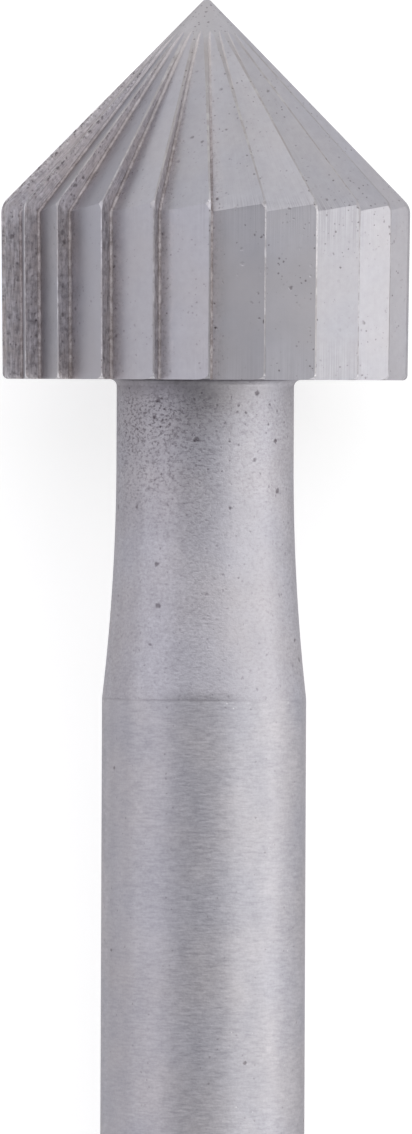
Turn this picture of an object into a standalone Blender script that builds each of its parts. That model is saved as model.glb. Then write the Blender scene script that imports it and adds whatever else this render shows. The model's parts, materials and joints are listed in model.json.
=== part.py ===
"""Stone setting bur for a jeweller's handpiece.

One solid of hardened steel. A blank is turned from bar, with a point, a head, a neck and a plain shank. Straight
flutes are then ground into the head, along its side and up its point. The bur lies on its side, as it comes to
rest: two tooth tips and the lower edge of the shank's end touch the surface.
Sizes are in metres and angles in radians. +Z is up, and the point looks along +Y.
"""

from math import atan, cos, pi, radians, sin, sqrt, tan

import bmesh
import bpy
from mathutils import Euler, Matrix, Vector

# Overall length, from the rounded point to the flat end of the shank
OVERALL_LENGTH = 0.0445

# Shank, gripped by the handpiece's collet
SHANK_DIAMETER = 0.00235
END_CHAMFER = 0.0002

# Neck, ground this deep into the bar and swept out to the shank by the grinding wheel's own radius
NECK_DEPTH = 0.000155
NECK_STRAIGHT = 0.00097
SWEEP_RADIUS = 0.0235
NECK_FILLET = 0.00008

# Head. Its diameter is across the tooth tips at the shoulder, where side and point meet
HEAD_DIAMETER = 0.00472
HEAD_SIDE = 0.002
BACK_TAPER = radians(0.7)
SHOULDER_RADIUS = 0.0002
REAR_EDGE_RADIUS = 0.00006

# Point, nominally a right angle between opposite sides
POINT_ANGLE = radians(89)
POINT_RADIUS = 0.00007

# Teeth. A flute has a radial face in front of one tip, a rounded root, and a back that rises to the next tip,
# where a narrow land of the turned surface is left. On the point the flutes grow shallower and run out
TOOTH_COUNT = 23
SIDE_FLUTE_DEPTH = 0.00019
POINT_FLUTE_DEPTH = 0.00021
ROOT_RADIUS = 0.00003
LAND_WIDTH = 0.00002
FLUTE_RUNOUT = 0.00034

# How far the space that the wheel clears runs on, below the head and past the run-out
WHEEL_OVERRUN = 0.0001

# Fineness of the facets
FACETS_PER_TOOTH = 4
CORNER_STEPS = 3
SWEEP_STEPS = 8
ROOT_STEPS = 3
POINT_FLUTE_STEPS = 4
SHARP_EDGE_ANGLE = radians(25)

# Finish
STEEL_COLOUR = (0.56, 0.55, 0.575, 1.0)
STEEL_ROUGHNESS = 0.38

# Worked out from the sizes above. Heights are along the axis, from the flat end of the shank
FACETS = TOOTH_COUNT * FACETS_PER_TOOTH
PITCH = 2 * pi / TOOTH_COUNT
SHANK_RADIUS = SHANK_DIAMETER / 2
NECK_RADIUS = SHANK_RADIUS - NECK_DEPTH
HEAD_RADIUS = HEAD_DIAMETER / 2
HALF_POINT = POINT_ANGLE / 2
APEX_HEIGHT = OVERALL_LENGTH + POINT_RADIUS * (1 / sin(HALF_POINT) - 1)
SHOULDER_HEIGHT = APEX_HEIGHT - HEAD_RADIUS / tan(HALF_POINT)
UNDERSIDE_HEIGHT = SHOULDER_HEIGHT - HEAD_SIDE
RUNOUT_HEIGHT = OVERALL_LENGTH - FLUTE_RUNOUT


def cone_radius(height):
    """Radius of the point at a height, across the tooth tips."""
    return (APEX_HEIGHT - height) * tan(HALF_POINT)


def side_radius(height):
    """Radius of the head's side at a height, across the tooth tips."""
    return HEAD_RADIUS - (SHOULDER_HEIGHT - height) * tan(BACK_TAPER)


def rounded_corner(before, corner, after, radius):
    """Points of the arc that rounds a corner of the outline."""
    back = (before - corner).normalized()
    ahead = (after - corner).normalized()
    half = back.angle(ahead) / 2
    centre = corner + (back + ahead).normalized() * radius / sin(half)
    start = corner + back * radius / tan(half) - centre
    turn = (pi - 2 * half) * (1 if back.cross(ahead) < 0 else -1)
    return [centre + Matrix.Rotation(turn * i / CORNER_STEPS, 2) @ start for i in range(CORNER_STEPS + 1)]


def tip_outline():
    """The rounded tip, from the axis out to where it runs into the cone."""
    centre = Vector((0, OVERALL_LENGTH - POINT_RADIUS))
    angles = [pi / 2 + (HALF_POINT - pi / 2) * i / CORNER_STEPS for i in range(CORNER_STEPS + 1)]
    arc = [centre + POINT_RADIUS * Vector((cos(angle), sin(angle))) for angle in angles]
    return [Vector((0, OVERALL_LENGTH)), *arc[1:]]


def sweep_outline():
    """The hollow sweep from the neck out to the shank, an arc that starts along the neck."""
    drop = sqrt(SWEEP_RADIUS**2 - (SWEEP_RADIUS - NECK_DEPTH) ** 2)
    top = UNDERSIDE_HEIGHT - NECK_STRAIGHT
    outline = []
    for i in range(SWEEP_STEPS + 1):
        down = drop * i / SWEEP_STEPS
        radius = NECK_RADIUS + SWEEP_RADIUS - sqrt(SWEEP_RADIUS**2 - down**2)
        outline.append(Vector((radius, top - down)))
    return outline


def blank_outline():
    """Half the section of the turned blank, as radius and height, from the tip down to the flat end."""
    tip = tip_outline()
    shoulder = Vector((HEAD_RADIUS, SHOULDER_HEIGHT))
    rear_edge = Vector((side_radius(UNDERSIDE_HEIGHT), UNDERSIDE_HEIGHT))
    neck_corner = Vector((NECK_RADIUS, UNDERSIDE_HEIGHT))
    sweep = sweep_outline()
    return [
        *tip,
        *rounded_corner(tip[-1], shoulder, rear_edge, SHOULDER_RADIUS),
        *rounded_corner(shoulder, rear_edge, neck_corner, REAR_EDGE_RADIUS),
        *rounded_corner(rear_edge, neck_corner, sweep[0], NECK_FILLET),
        *sweep,
        Vector((SHANK_RADIUS, END_CHAMFER)),
        Vector((SHANK_RADIUS - END_CHAMFER, 0)),
        Vector((0, 0)),
    ]


def turned_blank(name):
    """The blank before fluting: its outline turned about the axis."""
    outline = blank_outline()
    mesh = bpy.data.meshes.new(name)
    mesh.from_pydata([(p.x, 0, p.y) for p in outline], [(i, i + 1) for i in range(len(outline) - 1)], [])
    blank = bpy.data.objects.new(name, mesh)
    turn = blank.modifiers.new("turned about the axis", "SCREW")
    turn.steps = turn.render_steps = FACETS
    turn.use_merge_vertices = True
    turn.merge_threshold = 1e-7
    return blank


def flute_section(root, crest):
    """A section of the space that the grinding wheel clears, from the radial face round to the back.

    The crest is where the back meets the turned surface. The section runs on past it by half the land, so that
    it leaves the steel cleanly and stays clear of the next flute.
    """
    face = Vector((1, 0, 0))
    back = (crest - root).normalized()
    half = face.angle(back) / 2
    centre = root + (face + back).normalized() * ROOT_RADIUS / sin(half)
    start = root + face * ROOT_RADIUS / tan(half) - centre
    turn = 2 * half - pi
    nose = [
        centre + Matrix.Rotation(turn * i / ROOT_STEPS, 3, face.cross(back)) @ start
        for i in range(ROOT_STEPS + 1)
    ]
    heel = crest + back * LAND_WIDTH / 2
    clearance = SIDE_FLUTE_DEPTH + POINT_FLUTE_DEPTH
    outward = Vector((heel.x, heel.y, 0)).normalized()
    return [root + face * clearance, *nose, heel, heel + outward * clearance]


def crest_point(radius, height):
    """Where a flute's back meets a surface of this radius: one land's width short of the next tip."""
    angle = PITCH - LAND_WIDTH / radius
    return Vector((radius * cos(angle), radius * sin(angle), height))


def flute_sections():
    """The sections of one flute, from below the head to the mitre at the shoulder and on up the point."""
    below = UNDERSIDE_HEIGHT - WHEEL_OVERRUN
    side_root = side_radius(below) - SIDE_FLUTE_DEPTH
    sections = [flute_section(Vector((side_root, 0, below)), crest_point(side_radius(below), below))]

    # The root's line on the point, from its full depth at the shoulder to the surface at the run-out
    deep_radius = HEAD_RADIUS - POINT_FLUTE_DEPTH * cos(HALF_POINT)
    deep_height = SHOULDER_HEIGHT - POINT_FLUTE_DEPTH * sin(HALF_POINT)
    runout_radius = cone_radius(RUNOUT_HEIGHT)
    root_slope = (deep_radius - runout_radius) / (RUNOUT_HEIGHT - deep_height)

    # The mitre, where that line crosses the root's line on the side
    side_root_at_deep = side_radius(deep_height) - SIDE_FLUTE_DEPTH
    mitre_height = deep_height + (deep_radius - side_root_at_deep) / (root_slope + tan(BACK_TAPER))

    # A flute's back is flat. At the run-out it is the cone's tangent, so its crest stands clear of the cone
    tangent_rise = runout_radius * (1 / cos(PITCH) - 1)
    past_runout = 1 + WHEEL_OVERRUN / (RUNOUT_HEIGHT - SHOULDER_HEIGHT)
    shares = [i / POINT_FLUTE_STEPS for i in range(POINT_FLUTE_STEPS + 1)] + [past_runout]
    for share in shares:
        root_height = mitre_height + (RUNOUT_HEIGHT - mitre_height) * share
        root_radius = deep_radius - root_slope * (root_height - deep_height)
        crest_height = SHOULDER_HEIGHT + (RUNOUT_HEIGHT - SHOULDER_HEIGHT) * share
        crest_radius = cone_radius(crest_height) + tangent_rise * share
        root = Vector((root_radius, 0, root_height))
        sections.append(flute_section(root, crest_point(crest_radius, crest_height)))
    return sections


def flute_cutters(name):
    """The cleared space of every flute: one flute lofted through its sections, and copies about the axis."""
    shape = bmesh.new()
    rings = [[shape.verts.new(point) for point in section] for section in flute_sections()]
    for ring, following in zip(rings, rings[1:]):
        for i, vertex in enumerate(ring):
            shape.faces.new((ring[i - 1], vertex, following[i], following[i - 1]))
    shape.faces.new(reversed(rings[0]))
    shape.faces.new(rings[-1])
    bmesh.ops.triangulate(shape, faces=shape.faces)
    bmesh.ops.recalc_face_normals(shape, faces=shape.faces)

    # Each radial face cuts through the middle of a facet of the blank
    bmesh.ops.rotate(shape, verts=shape.verts, cent=(0, 0, 0), matrix=Matrix.Rotation(pi / FACETS, 3, "Z"))
    bmesh.ops.spin(
        shape,
        geom=shape.verts[:] + shape.edges[:] + shape.faces[:],
        cent=(0, 0, 0),
        axis=(0, 0, 1),
        angle=PITCH * (TOOTH_COUNT - 1),
        steps=TOOTH_COUNT - 1,
        use_duplicate=True,
    )
    mesh = bpy.data.meshes.new(name)
    shape.to_mesh(mesh)
    shape.free()
    cutters = bpy.data.objects.new(name, mesh)
    cutters.hide_render = True
    cutters.display_type = "WIRE"
    return cutters


def resting_rotation():
    """The turn that lays the bur down on two tooth tips and the lower edge of the shank's end.

    Each tip is one edge of its land, and the gap between the two nearest edges lies symmetrically at the bottom.
    """
    flat = cos(pi / FACETS)
    half_gap = (PITCH - LAND_WIDTH / HEAD_RADIUS) / 2
    head_height = UNDERSIDE_HEIGHT + REAR_EDGE_RADIUS
    head_drop = side_radius(head_height) * flat * cos(half_gap)
    tilt = atan((head_drop - SHANK_RADIUS * flat) / (head_height - END_CHAMFER))
    roll = pi / 2 - pi / FACETS - half_gap
    return Euler((tilt - pi / 2, 0, roll), "ZYX")


def steel():
    """Hardened steel, ground and left bright."""
    material = bpy.data.materials.new("ground steel")
    material.use_nodes = True
    surface = material.node_tree.nodes["Principled BSDF"]
    surface.inputs["Base Color"].default_value = STEEL_COLOUR
    surface.inputs["Metallic"].default_value = 1.0
    surface.inputs["Roughness"].default_value = STEEL_ROUGHNESS
    return material


def fluted_bur(parts, guides):
    """The finished bur: the turned blank less its flutes, standing on its axis."""
    bur = turned_blank("setting_bur")
    cutters = flute_cutters("flute_cutters")
    parts.objects.link(bur)
    guides.objects.link(cutters)
    fluting = bur.modifiers.new("flutes ground in", "BOOLEAN")
    fluting.operation = "DIFFERENCE"
    fluting.solver = "EXACT"
    fluting.object = cutters

    cut = bpy.data.meshes.new_from_object(bur.evaluated_get(bpy.context.evaluated_depsgraph_get()))
    bur.modifiers.clear()
    bur.data = cut
    cut.shade_smooth()
    cut.set_sharp_from_angle(angle=SHARP_EDGE_ANGLE)
    cut.materials.clear()
    cut.materials.append(steel())
    return bur, cutters


def lay_down(bur, others, guides):
    """Turns the bur to its rest, seats its lowest point at height zero, and centres it over the origin."""
    rotation = resting_rotation()
    turned = [rotation.to_matrix() @ vertex.co for vertex in bur.data.vertices]
    rest = bpy.data.objects.new("resting place", None)
    guides.objects.link(rest)
    rest.rotation_mode = "ZYX"
    rest.rotation_euler = rotation
    rest.location = (
        -(min(p.x for p in turned) + max(p.x for p in turned)) / 2,
        -(min(p.y for p in turned) + max(p.y for p in turned)) / 2,
        -min(p.z for p in turned),
    )
    for placed in (bur, *others):
        placed.parent = rest


def collection(name):
    """A new collection in the scene."""
    made = bpy.data.collections.new(name)
    bpy.context.scene.collection.children.link(made)
    return made


for left_over in list(bpy.data.objects):
    bpy.data.objects.remove(left_over)

parts = collection("stone setting bur")
guides = collection("cutters and guides")
bur, cutters = fluted_bur(parts, guides)
lay_down(bur, [cutters], guides)
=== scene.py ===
"""Looks of the stone setting bur, lying on a pale studio floor and seen from above.

Sizes are in metres and angles in radians. The bur is shaped standing on the flat end of its shank, with
its axis up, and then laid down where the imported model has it. The camera looks down on it, nearly square to
its axis.
"""

import json
from math import atan2, cos, pi, radians, sin, sqrt, tan

import bmesh
import bpy
from mathutils import Euler, Matrix, Vector


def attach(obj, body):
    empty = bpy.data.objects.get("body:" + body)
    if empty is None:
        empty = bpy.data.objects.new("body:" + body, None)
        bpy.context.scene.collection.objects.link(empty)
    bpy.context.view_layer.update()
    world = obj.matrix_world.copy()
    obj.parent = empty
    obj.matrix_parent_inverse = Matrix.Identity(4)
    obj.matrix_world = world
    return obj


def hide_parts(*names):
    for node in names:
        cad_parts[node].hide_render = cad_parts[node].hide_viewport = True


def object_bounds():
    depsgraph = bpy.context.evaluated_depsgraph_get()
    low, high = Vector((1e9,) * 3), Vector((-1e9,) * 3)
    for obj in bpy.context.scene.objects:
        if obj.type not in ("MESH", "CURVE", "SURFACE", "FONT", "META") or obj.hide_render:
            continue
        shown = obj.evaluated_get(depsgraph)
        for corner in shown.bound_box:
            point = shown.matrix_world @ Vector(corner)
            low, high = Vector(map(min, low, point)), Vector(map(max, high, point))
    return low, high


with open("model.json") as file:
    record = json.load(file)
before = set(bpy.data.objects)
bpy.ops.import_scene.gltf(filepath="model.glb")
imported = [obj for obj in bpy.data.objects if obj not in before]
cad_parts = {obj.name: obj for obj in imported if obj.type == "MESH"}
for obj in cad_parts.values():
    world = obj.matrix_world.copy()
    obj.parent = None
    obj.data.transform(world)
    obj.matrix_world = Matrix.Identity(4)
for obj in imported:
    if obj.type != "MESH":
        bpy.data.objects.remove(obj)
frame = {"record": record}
cad_low, cad_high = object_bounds()

# The place where the bur lies
# It rests on two tooth tips and the lower edge of its shank's end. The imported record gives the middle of
# that end and the way that it faces. The bur is rolled so that the gap between two tips lies at the bottom.
shank_end = frame["record"]["mounts"][0]
end_place = Vector(shank_end["pos_m"])
axis = -Vector(shank_end["axis"])
tilt = atan2(axis.z, axis.y)
length = (cad_high.y - end_place.y) / axis.y

TOOTH_COUNT = 23
PITCH = 2 * pi / TOOTH_COUNT
LAND_WIDTH = 0.00002
HEAD_RADIUS = 0.0023586
roll = pi / 2 - (PITCH - LAND_WIDTH / HEAD_RADIUS) / 2
lying = Matrix.Translation(end_place) @ Euler((tilt - pi / 2, 0, roll), "ZYX").to_matrix().to_4x4()

# The turned blank
# One hardened steel bar, turned and ground to the outline of point, head, neck and shank. The neck's sweep
# is the wheel's own radius, and a fine line round the bar is left where that grinding stops.
SHANK_RADIUS = 0.0011743
END_CHAMFER = 0.0002
CHAMFER_EDGE_RADIUS = 0.00003
NECK_DEPTH = 0.000155
NECK_STRAIGHT = 0.00097
SWEEP_RADIUS = 0.0235
NECK_FILLET = 0.00008
HEAD_SIDE = 0.002
BACK_TAPER = radians(0.7)
SHOULDER_RADIUS = 0.0002
REAR_EDGE_RADIUS = 0.00006
HALF_POINT = radians(44.5)
POINT_RADIUS = 0.00007
LINE_DEPTH = 0.0000008
LINE_WIDTH = 0.000012
SEGMENTS_PER_TOOTH = 16
SWEEP_STEPS = 24
CORNER_STEPS = 6
MERGE_DISTANCE = 1e-7
HEIGHT_MARGIN = 1e-6

neck_radius = SHANK_RADIUS - NECK_DEPTH
apex = length + POINT_RADIUS * (1 / sin(HALF_POINT) - 1)
shoulder = apex - HEAD_RADIUS / tan(HALF_POINT)
underside = shoulder - HEAD_SIDE
sweep_top = underside - NECK_STRAIGHT
sweep_drop = sqrt(SWEEP_RADIUS**2 - (SWEEP_RADIUS - NECK_DEPTH) ** 2)
sweep_end = sweep_top - sweep_drop

outline = bmesh.new()


def line(start, radius, height):
    """Draws the outline on to a point, and returns the vertex there."""
    vertex = outline.verts.new((radius, 0, height))
    outline.edges.new((start, vertex))
    return vertex


def arc(start, radius, height, angle, steps):
    """Draws the outline on round a centre, and returns the last vertex."""
    centre = (radius, 0, height)
    swung = bmesh.ops.spin(outline, geom=[start], cent=centre, axis=(0, 1, 0), angle=angle, steps=steps)
    return swung["geom_last"][0]


def rounded(vertex, radius, corner):
    """Rounds a corner of the outline, given the angle between its two sides."""
    bmesh.ops.bevel(
        outline,
        geom=[vertex],
        offset=radius / tan(corner / 2),
        offset_type="OFFSET",
        segments=CORNER_STEPS,
        profile=0.5,
        affect="VERTICES",
        material=-1,
    )


tip = outline.verts.new((0, 0, length))
point = arc(tip, 0, length - POINT_RADIUS, pi / 2 - HALF_POINT, CORNER_STEPS)
shoulder_corner = line(point, HEAD_RADIUS, shoulder)
rear_corner = line(shoulder_corner, HEAD_RADIUS - HEAD_SIDE * tan(BACK_TAPER), underside)
neck_corner = line(rear_corner, neck_radius, underside)
neck = line(neck_corner, neck_radius, sweep_top)
sweep_angle = atan2(sweep_drop, SWEEP_RADIUS - NECK_DEPTH)
swept = arc(neck, neck_radius + SWEEP_RADIUS, sweep_top, -sweep_angle, SWEEP_STEPS)
groove = line(swept, SHANK_RADIUS - LINE_DEPTH, sweep_end - LINE_WIDTH / 3)
groove_end = line(groove, SHANK_RADIUS, sweep_end - LINE_WIDTH)
chamfer_top = line(groove_end, SHANK_RADIUS, END_CHAMFER)
chamfer_end = line(chamfer_top, SHANK_RADIUS - END_CHAMFER, 0)
line(chamfer_end, 0, 0)
rounded(shoulder_corner, SHOULDER_RADIUS, pi / 2 + HALF_POINT + BACK_TAPER)
rounded(rear_corner, REAR_EDGE_RADIUS, pi / 2 - BACK_TAPER)
rounded(neck_corner, NECK_FILLET, pi / 2)
rounded(chamfer_top, CHAMFER_EDGE_RADIUS, 3 * pi / 4)
rounded(chamfer_end, CHAMFER_EDGE_RADIUS, 3 * pi / 4)

bmesh.ops.spin(
    outline,
    geom=outline.verts[:] + outline.edges[:],
    cent=(0, 0, 0),
    axis=(0, 0, 1),
    angle=2 * pi,
    steps=TOOTH_COUNT * SEGMENTS_PER_TOOTH,
    use_merge=True,
)
bmesh.ops.remove_doubles(outline, verts=outline.verts, dist=MERGE_DISTANCE)
bmesh.ops.recalc_face_normals(outline, faces=outline.faces)

# Each turned face's finish: the head, the neck with its sweep, and the shank with its end
TURNED, BACK, ROOT, CUTTING, NECK, SHANK = range(6)
for face in outline.faces:
    height = face.calc_center_median().z
    under_head = NECK if height > sweep_end else SHANK
    face.material_index = TURNED if height > underside - HEIGHT_MARGIN else under_head

blank_mesh = bpy.data.meshes.new("turned_blank")
outline.to_mesh(blank_mesh)
outline.free()

# The flutes
# Each is ground straight along the side and on up the point, with a radial cutting face, a rounded root and
# a flat back that rises to the next tooth's land. They grow shallower up the point until they run out.
SIDE_FLUTE_DEPTH = 0.00019
POINT_FLUTE_DEPTH = 0.00021
ROOT_RADIUS = 0.00003
HALF_ROOT_ANGLE = radians(40)
ROOT_STEPS = 6
FLUTE_RUNOUT = 0.00034
WHEEL_OVERRUN = 0.0001
POINT_FLUTE_STEPS = 8
SQUARE_ACROSS = 0.999

runout = length - FLUTE_RUNOUT
runout_radius = (apex - runout) * tan(HALF_POINT)
tangent_rise = runout_radius * (1 / cos(PITCH) - 1)
deep_radius = HEAD_RADIUS - POINT_FLUTE_DEPTH * cos(HALF_POINT)
deep_height = shoulder - POINT_FLUTE_DEPTH * sin(HALF_POINT)
root_slope = (deep_radius - runout_radius) / (runout - deep_height)
side_root = HEAD_RADIUS - SIDE_FLUTE_DEPTH - (shoulder - deep_height) * tan(BACK_TAPER)
mitre_height = deep_height + (deep_radius - side_root) / (root_slope + tan(BACK_TAPER))
clearance = SIDE_FLUTE_DEPTH + POINT_FLUTE_DEPTH


def flute_corners(root_radius, root_height, crest_radius, crest_height):
    """The four corners of a flute's section: above the cutting face, root, heel, and above the heel."""
    root = Vector((root_radius, 0, root_height))
    turn = PITCH - LAND_WIDTH / crest_radius
    crest = Vector((crest_radius * cos(turn), crest_radius * sin(turn), crest_height))
    heel = crest + (crest - root).normalized() * LAND_WIDTH / 2
    outward = Vector((heel.x, heel.y, 0)).normalized()
    return [root + Vector((clearance, 0, 0)), root, heel, heel + outward * clearance]


below = underside - WHEEL_OVERRUN
below_radius = HEAD_RADIUS - (shoulder - below) * tan(BACK_TAPER)
sections = [flute_corners(below_radius - SIDE_FLUTE_DEPTH, below, below_radius, below)]
past_runout = 1 + WHEEL_OVERRUN / (runout - shoulder)
for share in [step / POINT_FLUTE_STEPS for step in range(POINT_FLUTE_STEPS + 1)] + [past_runout]:
    root_height = mitre_height + (runout - mitre_height) * share
    root_radius = deep_radius - root_slope * (root_height - deep_height)
    crest_height = shoulder + (runout - shoulder) * share
    crest_radius = (apex - crest_height) * tan(HALF_POINT) + tangent_rise * share
    sections.append(flute_corners(root_radius, root_height, crest_radius, crest_height))

flute = bmesh.new()
section = flute.faces.new([flute.verts.new(corner) for corner in sections[0]])
roots = [section.verts[1]]
for step, corners in enumerate(sections[1:]):
    grown = bmesh.ops.extrude_face_region(flute, geom=[section])
    if step:
        bmesh.ops.delete(flute, geom=[section], context="FACES_ONLY")
    section = next(part for part in grown["geom"] if isinstance(part, bmesh.types.BMFace))
    for vertex, corner in zip(section.verts, corners):
        vertex.co = corner
    roots.append(section.verts[1])
bmesh.ops.recalc_face_normals(flute, faces=flute.faces)
for face in flute.faces:
    face.material_index = CUTTING if abs(face.normal.y) > SQUARE_ACROSS else BACK

fillet = bmesh.ops.bevel(
    flute,
    geom=[flute.edges.get(pair) for pair in zip(roots, roots[1:])],
    offset=ROOT_RADIUS / tan(HALF_ROOT_ANGLE),
    offset_type="OFFSET",
    segments=ROOT_STEPS,
    profile=0.5,
    affect="EDGES",
    material=-1,
)
for face in fillet["faces"]:
    face.material_index = ROOT
bmesh.ops.triangulate(flute, faces=flute.faces)
bmesh.ops.spin(
    flute,
    geom=flute.verts[:] + flute.edges[:] + flute.faces[:],
    cent=(0, 0, 0),
    axis=(0, 0, 1),
    angle=PITCH * (TOOTH_COUNT - 1),
    steps=TOOTH_COUNT - 1,
    use_duplicate=True,
)
flutes_mesh = bpy.data.meshes.new("flutes")
flute.to_mesh(flutes_mesh)
flute.free()

# The finishes
# The same steel throughout, left bright: satin backs, rough cutting faces, a blasted neck and a brushed
# shank. Every pattern is laid in the bur's own directions, round its axis and along it.


def node(tree, kind, inputs=(), **settings):
    """Adds a node. Each input is a plain value, or the socket of another node to link."""
    made = tree.nodes.new("ShaderNode" + kind)
    for name, value in settings.items():
        setattr(made, name, value)
    for socket, value in dict(inputs).items():
        if isinstance(value, bpy.types.NodeSocket):
            tree.links.new(value, made.inputs[socket])
        else:
            made.inputs[socket].default_value = value
    return made


def spread(tree, value, low, high, to_low=0.0, to_high=1.0):
    """Stretches the part of a pattern between two levels over a new range, and clamps the rest."""
    levels = {"Value": value, "From Min": low, "From Max": high, "To Min": to_low, "To Max": to_high}
    return node(tree, "MapRange", levels).outputs["Result"]


def times(tree, first, second):
    """One pattern dimmed by another."""
    return node(tree, "Math", {0: first, 1: second}, operation="MULTIPLY").outputs[0]


def plus(tree, first, second):
    """Two patterns laid over each other."""
    return node(tree, "Math", {0: first, 1: second}, operation="ADD").outputs[0]


def mix(tree, amount, first, second, blend_type="MIX"):
    """A colour between two, by a pattern, or one colour multiplied by another."""
    mixed = node(tree, "Mix", data_type="RGBA", blend_type=blend_type)
    for socket, value in (("Factor", amount), ("A", first), ("B", second)):
        target = next(s for s in mixed.inputs if s.name == socket and s.enabled)
        if isinstance(value, bpy.types.NodeSocket):
            tree.links.new(value, target)
        else:
            target.default_value = (*value, 1) if isinstance(value, tuple) else value
    return next(s for s in mixed.outputs if s.enabled)


def on_bur(tree):
    """The place on the bur as it stands on its end: across it, across it, and up its axis."""
    stood_up = lying.inverted()
    place = node(tree, "TexCoord").outputs["Object"]
    turn = {"Vector": place, "Location": stood_up.to_translation(), "Rotation": stood_up.to_euler()}
    return node(tree, "Mapping", turn).outputs["Vector"]


def height_up(tree, place):
    """The height above the shank's flat end."""
    return node(tree, "SeparateXYZ", {"Vector": place}).outputs["Z"]


def out_from_axis(tree, place):
    """The part of the place that lies square to the axis."""
    return node(tree, "VectorMath", {0: place, 1: (1, 1, 0)}, operation="MULTIPLY").outputs[0]


def distance_out(tree, place):
    """The distance from the axis."""
    return node(tree, "VectorMath", {0: out_from_axis(tree, place)}, operation="LENGTH").outputs["Value"]


def direction_out(tree, place):
    """The way out from the axis, at a length of one."""
    return node(tree, "VectorMath", {0: out_from_axis(tree, place)}, operation="NORMALIZE").outputs[0]


def wrapped(tree, place, around, along):
    """Pattern coordinates that wrap round the axis, in cells per radian and per metre along the outline.

    Height less half the radius runs along every part of the turned outline, flat ends and chamfer included.
    """
    run = plus(tree, height_up(tree, place), times(tree, distance_out(tree, place), -0.5))
    rise = node(tree, "CombineXYZ", {"Z": times(tree, run, along)}).outputs[0]
    turned = {0: direction_out(tree, place), 1: (around, around, 0), 2: rise}
    return node(tree, "VectorMath", turned, operation="MULTIPLY_ADD").outputs[0]


def noise(tree, where, scale, detail, roughness=0.5):
    """Noise from 0 to 1 over the given coordinates."""
    settings = {"Vector": where, "Scale": scale, "Detail": detail, "Roughness": roughness}
    return node(tree, "TexNoise", settings).outputs["Fac"]


def streaks(tree, place, deep, along):
    """Noise drawn out along the flutes, in cells per metre across their depth and along the axis."""
    up_point = spread(tree, height_up(tree, place), shoulder, apex, 0, HEAD_RADIUS)
    depth = times(tree, plus(tree, distance_out(tree, place), up_point), deep)
    where = wrapped(tree, place, around=12, along=along)
    settings = {"Vector": where, "W": depth, "Scale": 1.0, "Detail": 3.0, "Roughness": 0.65}
    return node(tree, "TexNoise", settings, noise_dimensions="4D").outputs["Fac"]


def pits(tree, place, spacing, radius, share):
    """Small uneven pits: 1 in a pit and 0 outside. Only a share of the cells of this spacing has one."""
    wander = node(tree, "TexNoise", {"Vector": place, "Scale": 0.7 / radius, "Detail": 1.0}).outputs["Color"]
    moved = {0: wander, 1: (radius * 1.3,) * 3, 2: place}
    shaken = node(tree, "VectorMath", moved, operation="MULTIPLY_ADD").outputs[0]
    cells = node(tree, "TexVoronoi", {"Vector": shaken, "Scale": 1 / spacing})
    luck = node(tree, "SeparateColor", {"Color": cells.outputs["Color"]}).outputs
    size = radius / spacing
    reach = plus(tree, cells.outputs["Distance"], times(tree, luck["Green"], size * 0.6))
    hollow = spread(tree, reach, size * 0.5, size, 1, 0)
    return times(tree, hollow, spread(tree, luck["Red"], 1 - share, 1.02 - share))


def facing(tree, place, left, edge, full):
    """A side of the bur, so many degrees to the left of its top.

    It is 1 within one angle of there, and fades to 0 at a wider one.
    """
    side = Vector((-sin(radians(left)), -cos(radians(left)), 0))
    rolled = Euler((0, 0, -roll)).to_matrix() @ side
    turned = node(tree, "VectorMath", {0: direction_out(tree, place), 1: rolled}, operation="DOT_PRODUCT")
    return spread(tree, turned.outputs["Value"], cos(radians(edge)), cos(radians(full)))


def steel(name, draw, bump, edge_on=0.58):
    """A steel finish. The drawing function gives its colour, roughness and height patterns.

    The bump is the relief's depth. The last value dims a dull surface where it is seen edge on.
    """
    material = bpy.data.materials.new(name)
    material.use_nodes = True
    tree = material.node_tree
    surface = tree.nodes["Principled BSDF"]
    surface.inputs["Metallic"].default_value = 1.0
    surface.inputs["Specular Tint"].default_value = (edge_on, edge_on, edge_on, 1)
    place = on_bur(tree)
    colour, roughness, height = draw(tree, place)
    bluish, brownish = (0.985, 0.985, 1.01), (1.01, 0.99, 0.985)
    cast = mix(tree, spread(tree, noise(tree, place, scale=1100, detail=2), 0.35, 0.65), bluish, brownish)
    tree.links.new(mix(tree, 1.0, colour, cast, "MULTIPLY"), surface.inputs["Base Color"])
    tree.links.new(roughness, surface.inputs["Roughness"])
    relief = node(tree, "Bump", {"Height": height, "Distance": bump})
    tree.links.new(relief.outputs["Normal"], surface.inputs["Normal"])
    return material


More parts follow.
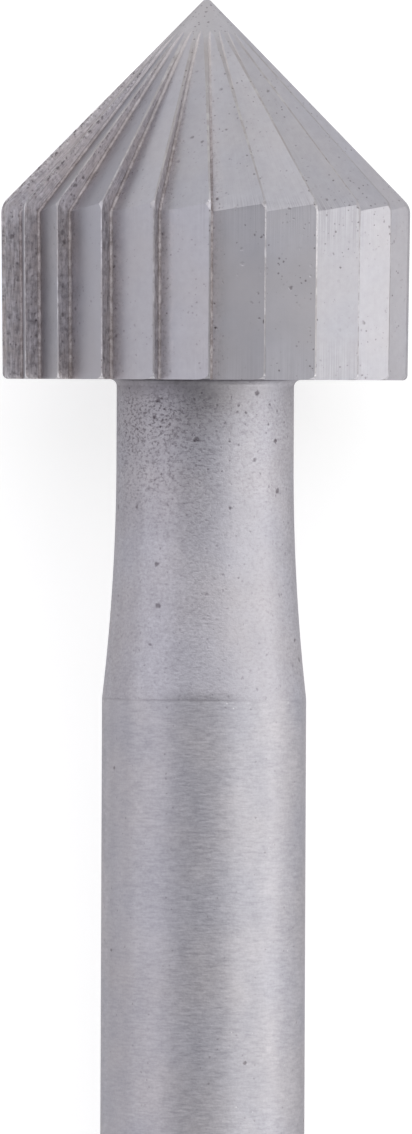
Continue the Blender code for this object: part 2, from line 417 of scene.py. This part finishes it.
def turned_head(tree, place):
    """The lands, the tip and the underside of the head: patchy, with fine lines round them and nicks, and a
    painted highlight on the rounded rear edge.
    """
    dull_side, bright_side = (0.33, 0.318, 0.332), (0.50, 0.49, 0.512)
    dull_point, bright_point = (0.33, 0.315, 0.322), (0.42, 0.41, 0.418)
    dull_tip, bright_tip = (0.385, 0.376, 0.396), (0.45, 0.44, 0.46)
    dull_face, bright_face = (0.34, 0.33, 0.35), (0.44, 0.43, 0.453)
    rear_edge_highlight, nicked_steel = (0.62, 0.61, 0.635), (0.12, 0.105, 0.11)
    up = height_up(tree, place)
    lines = noise(tree, wrapped(tree, place, around=20, along=60000), scale=1, detail=2)
    rings = noise(tree, wrapped(tree, place, around=5, along=30000), scale=1, detail=3, roughness=0.65)
    worn = spread(tree, noise(tree, place, scale=1700, detail=1), 0.46, 0.56, 0.3, 1)
    patches = noise(tree, place, scale=9000, detail=3, roughness=0.65)
    patchy = times(tree, spread(tree, patches, 0.36, 0.6), worn)
    side = mix(tree, patchy, dull_side, bright_side)
    point = mix(tree, patchy, dull_point, bright_point)
    tip = mix(tree, lines, dull_tip, bright_tip)
    lands = mix(tree, spread(tree, up, shoulder, shoulder + 0.0002), side, point)
    tipped = mix(tree, spread(tree, up, runout - 0.0003, runout), lands, tip)
    faced = mix(tree, spread(tree, rings, 0.35, 0.65), dull_face, bright_face)
    # Painted highlight: the rounded rear edge of the head is drawn in a pale steel colour, standing in for
    # light that it would catch.
    edge_highlighted = mix(tree, spread(tree, up, underside, underside + 0.00001), faced, rear_edge_highlight)
    plain = mix(tree, spread(tree, up, underside + 0.00005, underside + 0.00008), edge_highlighted, tipped)
    nicks = pits(tree, place, spacing=0.00005, radius=0.000017, share=0.7)
    colour = mix(tree, times(tree, nicks, 0.6), plain, nicked_steel)
    return colour, spread(tree, patchy, 0, 1, 0.44, 0.36), lines


def from_root(tree, place):
    """How far across its back a tooth is: 0 at the flute's root, and 1 at the next tooth's cutting face."""
    across = node(tree, "SeparateXYZ", {"Vector": place}).outputs
    turn = node(tree, "Math", {0: across["Y"], 1: across["X"]}, operation="ARCTAN2").outputs[0]
    return node(tree, "Math", {0: times(tree, turn, 1 / PITCH)}, operation="FRACT").outputs[0]


def ground_backs(tree, place):
    """Satin ground flats, scratched along the flutes at both ends, with dark pits, painted light beside the
    roots on the left, and painted highlight and shade on some teeth.
    """
    dull, bright = (0.349, 0.343, 0.372), (0.432, 0.427, 0.458)
    tooth_highlight, tooth_shade = (0.48, 0.472, 0.505), (0.31, 0.305, 0.338)
    root_lift_colour, pitted_steel = (0.58, 0.54, 0.55), (0.11, 0.095, 0.10)
    up = height_up(tree, place)

    # Scratches
    top_end = spread(tree, up, shoulder - 0.0006, shoulder - 0.0002)
    low_end = spread(tree, up, underside + 0.0001, underside + 0.0005, 1, 0)
    less_on_point = spread(tree, up, shoulder, shoulder + 0.0001, 1, 0.15)
    ends = times(tree, plus(tree, plus(tree, top_end, low_end), 0.08), less_on_point)
    cluster = spread(tree, facing(tree, place, left=-27, edge=32, full=10), 0, 1, 0.15, 1)
    scratches = noise(tree, wrapped(tree, place, around=170, along=900), scale=1, detail=3, roughness=0.65)
    streaked = times(tree, plus(tree, scratches, -0.5), times(tree, cluster, ends))

    # Tone
    cloud = noise(tree, place, scale=2400, detail=3)
    mottle = noise(tree, place, scale=11000, detail=2)
    grain = noise(tree, place, scale=26000, detail=3, roughness=0.65)
    soft = plus(tree, times(tree, cloud, 0.15), times(tree, mottle, 0.2))
    tone = plus(tree, times(tree, streaked, 1.3), plus(tree, soft, times(tree, grain, 0.15)))
    plain = mix(tree, spread(tree, tone, 0.1, 0.4), dull, bright)
    # Painted highlight on the backs of the teeth a little right of the top, along the side, and painted shade
    # on the back that faces 34 degrees to the left.
    on_side = spread(tree, up, shoulder - 0.0001, shoulder, 0.5, 0)
    highlighted_teeth = times(tree, facing(tree, place, left=-18, edge=17, full=12), on_side)
    highlighted_backs = mix(tree, highlighted_teeth, plain, tooth_highlight)
    shaded_teeth = times(tree, facing(tree, place, left=34, edge=9, full=5), 0.6)
    lit_and_shaded_backs = mix(tree, shaded_teeth, highlighted_backs, tooth_shade)

    # Painted light beside the roots of the left-hand teeth: a pale colour that lifts the shade there. Pits
    # crowd in the same place.
    torn = noise(tree, place, scale=14000, detail=3, roughness=0.7)
    ragged = plus(tree, from_root(tree, place), times(tree, torn, 0.5))
    roots_side = facing(tree, place, left=45, edge=62, full=40)
    by_root = times(tree, spread(tree, ragged, 0.28, 0.58, 1, 0), roots_side)
    lifted_by_roots = mix(tree, times(tree, by_root, 0.5), lit_and_shaded_backs, root_lift_colour)

    # Pits
    groups = spread(tree, noise(tree, place, scale=2600, detail=1), 0.44, 0.6, 0.1, 1)
    crowded = plus(tree, groups, times(tree, by_root, 0.8))
    more_on_point = spread(tree, up, shoulder - 0.0004, shoulder, 0, 0.1)
    pitted_side = plus(tree, facing(tree, place, left=-65, edge=70, full=25), more_on_point)
    small = pits(tree, place, spacing=0.00005, radius=0.000017, share=0.6)
    large = pits(tree, place, spacing=0.00013, radius=0.00003, share=0.6)
    both = plus(tree, small, times(tree, large, 1.2))
    dots = times(tree, both, spread(tree, pitted_side, 0, 1, 0.4, 0.75))
    specks = times(tree, spread(tree, grain, 0.5, 0.62), times(tree, by_root, 0.4))
    dark = plus(tree, times(tree, dots, crowded), specks)
    colour = mix(tree, spread(tree, dark, 0, 1), lifted_by_roots, pitted_steel)
    roughness = spread(tree, cloud, 0.3, 0.7, 0.38, 0.43)
    height = plus(tree, streaked, times(tree, large, -1))
    return colour, roughness, height


def shallow(tree, place):
    """How far the flutes have run out up the point: 0 where they are deep, and 1 at their ends."""
    return spread(tree, height_up(tree, place), shoulder, runout, 0, 1)


def flute_roots(tree, place):
    """The rounded roots of the flutes, darker and browner in patches where they are deep, and lighter where
    they run out up the point.
    """
    dark_brown, light_brown = (0.29, 0.26, 0.264), (0.47, 0.44, 0.45)
    shallow_steel = (0.53, 0.51, 0.52)
    patches = noise(tree, place, scale=9000, detail=3, roughness=0.7)
    grain = noise(tree, place, scale=40000, detail=2)
    deep_tone = mix(tree, spread(tree, patches, 0.4, 0.62), dark_brown, light_brown)
    colour = mix(tree, spread(tree, shallow(tree, place), 0.2, 1), deep_tone, shallow_steel)
    return colour, spread(tree, grain, 0.3, 0.7, 0.6, 0.75), grain


def cutting_faces(tree, place):
    """Radial faces as the wheel left them: rough, with dark pits, traces of brown and torn edges."""
    dull, bright = (0.32, 0.301, 0.315), (0.66, 0.635, 0.66)
    brown, pale = (0.43, 0.385, 0.38), (0.60, 0.57, 0.585)
    bare_flake, pitted_steel = (0.86, 0.84, 0.85), (0.10, 0.085, 0.09)
    up = height_up(tree, place)

    # Tone
    mottle = noise(tree, place, scale=18000, detail=3, roughness=0.65)
    drag = streaks(tree, place, deep=45000, along=5000)
    tone = plus(tree, times(tree, mottle, 0.5), times(tree, drag, 0.5))
    plain = mix(tree, spread(tree, tone, 0.39, 0.61), dull, bright)
    stains = spread(tree, noise(tree, place, scale=9000, detail=2), 0.5, 0.7, 0, 0.5)
    stained = mix(tree, stains, plain, brown)
    pointed = mix(tree, times(tree, shallow(tree, place), 0.8), stained, pale)

    # Torn edges, up the point on the left
    crest = spread(tree, up, shoulder, apex, HEAD_RADIUS, 0)
    below_crest = plus(tree, crest, times(tree, distance_out(tree, place), -1))
    at_crest = spread(tree, below_crest, 0.00002, 0.00008, 1, 0)
    left_side = facing(tree, place, left=85, edge=50, full=30)
    torn = times(tree, at_crest, times(tree, spread(tree, up, shoulder, shoulder + 0.0003), left_side))
    flakes = noise(tree, place, scale=20000, detail=3, roughness=0.75)
    flaked = mix(tree, times(tree, torn, spread(tree, flakes, 0.54, 0.62, 0, 0.5)), pointed, bare_flake)
    split = times(tree, torn, spread(tree, flakes, 0.40, 0.47, 0.75, 0))

    # Pits
    small = pits(tree, place, spacing=0.00006, radius=0.00002, share=0.7)
    large = pits(tree, place, spacing=0.00012, radius=0.000038, share=0.7)
    dark = plus(tree, split, plus(tree, times(tree, small, 0.5), times(tree, large, 0.6)))
    colour = mix(tree, spread(tree, dark, 0, 1), flaked, pitted_steel)
    return colour, spread(tree, mottle, 0.3, 0.7, 0.45, 0.6), tone


def wheel_line(tree, place, below, around, least):
    """A fine broken line round the bur, this far below the end of the sweep: 1 on the line and 0 off it."""
    solid_width, faded_width = 0.000006, 0.000018
    off = plus(tree, height_up(tree, place), below - sweep_end)
    away = node(tree, "Math", {0: off}, operation="ABSOLUTE").outputs[0]
    gaps = noise(tree, wrapped(tree, place, around=around, along=1500), scale=1, detail=3, roughness=0.6)
    broken = spread(tree, gaps, least, least + 0.12)
    return times(tree, spread(tree, away, solid_width, faded_width, 1, 0), broken)


def ground_line(tree, place, colour):
    """The steel's colour with the dark line where the neck's grinding stops, deepened on the left by painted
    shade, and light dashes below it as a painted highlight.
    """
    dark_steel, groove_highlight = (0.13, 0.12, 0.13), (0.75, 0.74, 0.76)
    # The line is a real mark, drawn darker towards the left as painted shade. The light dashes below it are a
    # painted highlight on the groove's edge.
    shaded_side = spread(tree, facing(tree, place, left=40, edge=80, full=40), 0, 1, 0, 0.22)
    dark = times(tree, wheel_line(tree, place, below=0, around=2, least=0.44), shaded_side)
    dashes = times(tree, wheel_line(tree, place, below=0.00003, around=5, least=0.58), 0.4)
    return mix(tree, dashes, mix(tree, dark, colour, dark_steel), groove_highlight)


def shaded_left(tree, place, colour, share):
    """The colour of the steel, darker where the bur turns away to the left."""
    turned_away = times(tree, facing(tree, place, left=57, edge=15, full=7), share)
    return mix(tree, turned_away, colour, (0.24, 0.23, 0.255))


def blasted_neck(tree, place):
    """Fine grain, and dark pits that crowd on one side under the head and thin out down the neck, with
    painted shade under the head and at the foot of the sweep.
    """
    dull, bright = (0.347, 0.338, 0.370), (0.492, 0.483, 0.52)
    dusky, head_shadow_colour = (0.29, 0.272, 0.294), (0.14, 0.13, 0.145)
    foot_shade_colour, pitted_steel = (0.28, 0.272, 0.295), (0.10, 0.085, 0.10)
    up = height_up(tree, place)
    under_head = spread(tree, up, sweep_top - 0.0009, underside - 0.0004)
    crowded = times(tree, under_head, facing(tree, place, left=50, edge=62, full=12))

    # Tone
    grain = noise(tree, place, scale=30000, detail=3, roughness=0.7)
    cloud = noise(tree, place, scale=2600, detail=3)
    marks = noise(tree, wrapped(tree, place, around=12, along=36000), scale=1, detail=3, roughness=0.65)
    soft = plus(tree, times(tree, cloud, 0.2), times(tree, marks, 0.35))
    tone = plus(tree, times(tree, grain, 0.45), soft)
    calm_side = facing(tree, place, left=-30, edge=35, full=12)
    calm = times(tree, calm_side, spread(tree, under_head, 0, 1, 1, 0.3))
    contrast = plus(tree, times(tree, calm, -0.55), 1)
    evened = plus(tree, times(tree, plus(tree, tone, -0.5), contrast), 0.5)
    plain = mix(tree, spread(tree, evened, 0.38, 0.62), dull, bright)

    # Painted shade: the left side, a cloud and a strip under the head, and the top at the sweep's foot
    limb = shaded_left(tree, place, plain, 0.3)
    # Painted shade: a dark cloud under the head on its left, where the pits crowd.
    fallen = mix(tree, times(tree, crowded, 0.3), limb, dusky)
    # Painted shadow: a darker strip right against the head, left of the top.
    at_head = spread(tree, up, underside - 0.00024, underside - 0.00006, 0, 0.45)
    left_of_top = facing(tree, place, left=40, edge=42, full=18)
    shaded = mix(tree, times(tree, at_head, left_of_top), fallen, head_shadow_colour)
    # Painted shade: the top of the neck drawn darker just above the end of the sweep.
    at_foot = spread(tree, up, sweep_end, sweep_end + 0.0008, 0.4, 0)
    on_top = facing(tree, place, left=0, edge=28, full=8)
    footed = mix(tree, times(tree, at_foot, on_top), shaded, foot_shade_colour)

    # Pits
    dashes = noise(tree, wrapped(tree, place, around=22, along=31000), scale=1, detail=2, roughness=0.65)
    dots = pits(tree, place, spacing=0.00005, radius=0.000018, share=0.8)
    patches = plus(tree, times(tree, spread(tree, dashes, 0.48, 0.66), 0.6), times(tree, dots, 0.4))
    clear = spread(tree, up, underside - 0.0003, underside - 0.0001, 1, 0.35)
    thin = plus(tree, crowded, times(tree, under_head, 0.15))
    peppered = times(tree, spread(tree, thin, 0, 1, 0.2, 1.05), clear)
    speckle = times(tree, patches, peppered)
    few = pits(tree, place, spacing=0.00008, radius=0.000022, share=0.7)
    small = times(tree, few, spread(tree, under_head, 0, 1, 0.25, 0.55))
    large = pits(tree, place, spacing=0.00022, radius=0.000042, share=0.6)
    dark = plus(tree, speckle, plus(tree, small, times(tree, large, 0.65)))
    pitted = mix(tree, spread(tree, dark, 0, 1), footed, pitted_steel)
    colour = ground_line(tree, place, pitted)
    roughness = spread(tree, grain, 0.3, 0.7, 0.42, 0.52)
    height = plus(tree, tone, times(tree, dark, -0.8))
    return colour, roughness, height


def brushed_shank(tree, place):
    """Fine short lines round the shank, left by the last grinding, a few pits and small painted glints on its
    lit right side.
    """
    dull, bright = (0.333, 0.326, 0.356), (0.474, 0.464, 0.496)
    glint_colour, pitted_steel = (0.85, 0.84, 0.85), (0.11, 0.095, 0.10)
    lines = noise(tree, wrapped(tree, place, around=8, along=34000), scale=1, detail=3, roughness=0.65)
    grain = noise(tree, place, scale=34000, detail=2, roughness=0.6)
    cloud = noise(tree, place, scale=2200, detail=3)
    soft = plus(tree, times(tree, grain, 0.25), times(tree, cloud, 0.2))
    tone = plus(tree, times(tree, lines, 0.55), soft)
    plain = mix(tree, spread(tree, tone, 0.36, 0.64), dull, bright)
    above_end = spread(tree, height_up(tree, place), END_CHAMFER, END_CHAMFER * 4, 0, 0.3)
    limb = shaded_left(tree, place, plain, above_end)
    # Painted glints: small pale spots on the right, where the shank is lit.
    glints = pits(tree, place, spacing=0.00013, radius=0.000014, share=0.5)
    painted_glints = times(tree, glints, facing(tree, place, left=-30, edge=35, full=15))
    glinted = mix(tree, times(tree, painted_glints, 0.5), limb, glint_colour)
    small = pits(tree, place, spacing=0.0001, radius=0.000018, share=0.5)
    large = pits(tree, place, spacing=0.0003, radius=0.000034, share=0.3)
    dark = plus(tree, times(tree, small, 0.35), times(tree, large, 0.6))
    pitted = mix(tree, spread(tree, dark, 0, 1), glinted, pitted_steel)
    colour = ground_line(tree, place, pitted)
    roughness = spread(tree, lines, 0.3, 0.7, 0.42, 0.5)
    height = plus(tree, tone, times(tree, large, -1))
    return colour, roughness, height


finishes = [
    steel("turned_head", turned_head, bump=0.000001),
    steel("ground_backs", ground_backs, bump=0.0000014, edge_on=0.6),
    steel("flute_roots", flute_roots, bump=0.000003),
    steel("cutting_faces", cutting_faces, bump=0.000008, edge_on=1.0),
    steel("blasted_neck", blasted_neck, bump=0.000005),
    steel("brushed_shank", brushed_shank, bump=0.0000035),
]

# The bur itself
# One solid of hardened steel. The flutes are taken out of the turned blank, as the wheel takes them, and the
# bur is laid down in its place.
SHARP_EDGE = radians(28)

blank = bpy.data.objects.new("blank", blank_mesh)
flutes = bpy.data.objects.new("flute_cutters", flutes_mesh)
for made in (blank, flutes):
    bpy.context.scene.collection.objects.link(made)
    for material in finishes:
        made.data.materials.append(material)
cut = blank.modifiers.new("flutes ground in", "BOOLEAN")
cut.operation = "DIFFERENCE"
cut.solver = "EXACT"
cut.object = flutes
bur_mesh = bpy.data.meshes.new_from_object(blank.evaluated_get(bpy.context.evaluated_depsgraph_get()))
bur_mesh.name = "bur"
for made in (blank, flutes):
    bpy.data.objects.remove(made)
bur_mesh.transform(lying)
bur_mesh.shade_smooth()

# An edge is crisp where it is sharp, and wherever a flute cuts the turned surface
shaped = bmesh.new()
shaped.from_mesh(bur_mesh)
for edge in shaped.edges:
    kinds = {face.material_index for face in edge.link_faces}
    cut_edge = bool(kinds & {BACK, ROOT, CUTTING}) and bool(kinds & {TURNED, NECK})
    edge.smooth = not cut_edge and edge.calc_face_angle(0) < SHARP_EDGE
shaped.to_mesh(bur_mesh)
shaped.free()
bur = bpy.data.objects.new("bur", bur_mesh)
bpy.context.scene.collection.objects.link(bur)
weighted = bur.modifiers.new("flat faces stay flat", "WEIGHTED_NORMAL")
weighted.mode = "FACE_AREA"
weighted.keep_sharp = True
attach(bur, "root")
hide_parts("setting_bur")

# The studio
# A plain white floor and a soft even surround. Two soft lamps stand on the right, two weaker ones on the
# left, and two beyond the tip.
FLOOR_SIZE = 6.0
FLOOR_COLOUR = (0.6, 0.6, 0.6)
FLOOR_LIFT = 0.57
SURROUND = 0.44

floor_mesh = bpy.data.meshes.new("floor")
plain = bmesh.new()
bmesh.ops.create_grid(plain, x_segments=1, y_segments=1, size=FLOOR_SIZE / 2)
plain.to_mesh(floor_mesh)
plain.free()
floor = bpy.data.objects.new("floor", floor_mesh)
bpy.context.scene.collection.objects.link(floor)
paper = bpy.data.materials.new("white_floor")
paper.use_nodes = True
tree = paper.node_tree
tree.nodes.remove(tree.nodes["Principled BSDF"])
rays = node(tree, "LightPath").outputs
seen = plus(tree, rays["Is Camera Ray"], plus(tree, rays["Is Glossy Ray"], rays["Is Transmission Ray"]))
lift = spread(tree, seen, 0, 1, 0, FLOOR_LIFT)
matt = node(tree, "BsdfDiffuse", {"Color": (*FLOOR_COLOUR, 1)})
glow = node(tree, "Emission", {"Strength": lift})
both = node(tree, "AddShader", {0: matt.outputs[0], 1: glow.outputs[0]})
tree.links.new(both.outputs[0], tree.nodes["Material Output"].inputs["Surface"])
floor_mesh.materials.append(paper)

world = bpy.data.worlds.new("soft_surround")
bpy.context.scene.world = world
world.use_nodes = True
world.node_tree.nodes["Background"].inputs["Color"].default_value = (1, 1, 1, 1)
world.node_tree.nodes["Background"].inputs["Strength"].default_value = SURROUND


def softbox(name, place, wide, tall, radiance, colour):
    """A soft lamp of a given size that faces the bur, how bright it looks from there, and its colour."""
    light = bpy.data.lights.new(name, "AREA")
    light.shape = "RECTANGLE"
    light.size = wide
    light.size_y = tall
    light.energy = radiance * pi * wide * tall
    light.color = colour
    lamp = bpy.data.objects.new(name, light)
    bpy.context.scene.collection.objects.link(lamp)
    lamp.location = place
    lamp.rotation_euler = Vector(place).to_track_quat("Z", "Y").to_euler()
    lamp.visible_camera = False


softbox("low_right", (0.58, 0, 0.12), wide=0.7, tall=0.22, radiance=2.0, colour=(1, 1, 0.965))
softbox("high_right", (0.42, 0, 0.42), wide=0.7, tall=0.3, radiance=1.45, colour=(1, 1, 0.965))
softbox("low_left", (-0.55, 0.1, 0.22), wide=1.1, tall=0.44, radiance=0.6, colour=(1, 0.98, 1.02))
softbox("high_left", (-0.42, 0.1, 0.42), wide=0.7, tall=0.3, radiance=0.59, colour=(0.99, 0.98, 1.02))
softbox("before_tip", (0, 0.55, 0.28), wide=0.6, tall=0.4, radiance=0.96, colour=(1, 1, 0.97))
softbox("over_tip", (0.04, 0.315, 0.49), wide=0.6, tall=0.5, radiance=1.27, colour=(1, 1, 1.02))

# The camera
# It looks down on the head and the upper shank through a long lens from straight above the head's underside,
# turned a little round the bur and rolled so that the point leans to the right.
PICTURE_HEIGHT = 0.01304
CAMERA_DISTANCE = 0.16
SENSOR_MM = 36
BELOW_TIP = 0.006525
RIGHT_OF_AXIS = 0.000016
ROUND_THE_BUR = radians(-1.06)
TOWARD_TIP = radians(0.77)
LEAN = radians(0.235)

upright = Euler((tilt - pi / 2, 0, 0)).to_matrix() @ Vector((0, -1, 0))
level = Matrix.Rotation(ROUND_THE_BUR, 3, axis) @ upright
right = axis.cross(level)
outward = Matrix.Rotation(-TOWARD_TIP, 3, right) @ level
up = Matrix.Rotation(LEAN, 3, outward) @ outward.cross(right)
target = end_place + axis * (length - BELOW_TIP) + right * RIGHT_OF_AXIS

lens = bpy.data.cameras.new("camera")
lens.sensor_width = SENSOR_MM
lens.lens = SENSOR_MM * CAMERA_DISTANCE / PICTURE_HEIGHT
lens.clip_start = CAMERA_DISTANCE / 10
lens.clip_end = CAMERA_DISTANCE * 10
camera = bpy.data.objects.new("camera", lens)
bpy.context.scene.collection.objects.link(camera)
aimed = Matrix((up.cross(outward), up, outward)).transposed().to_4x4()
camera.matrix_world = Matrix.Translation(target + outward * CAMERA_DISTANCE) @ aimed
bpy.context.scene.camera = camera
bpy.context.scene.view_settings.view_transform = "Standard"
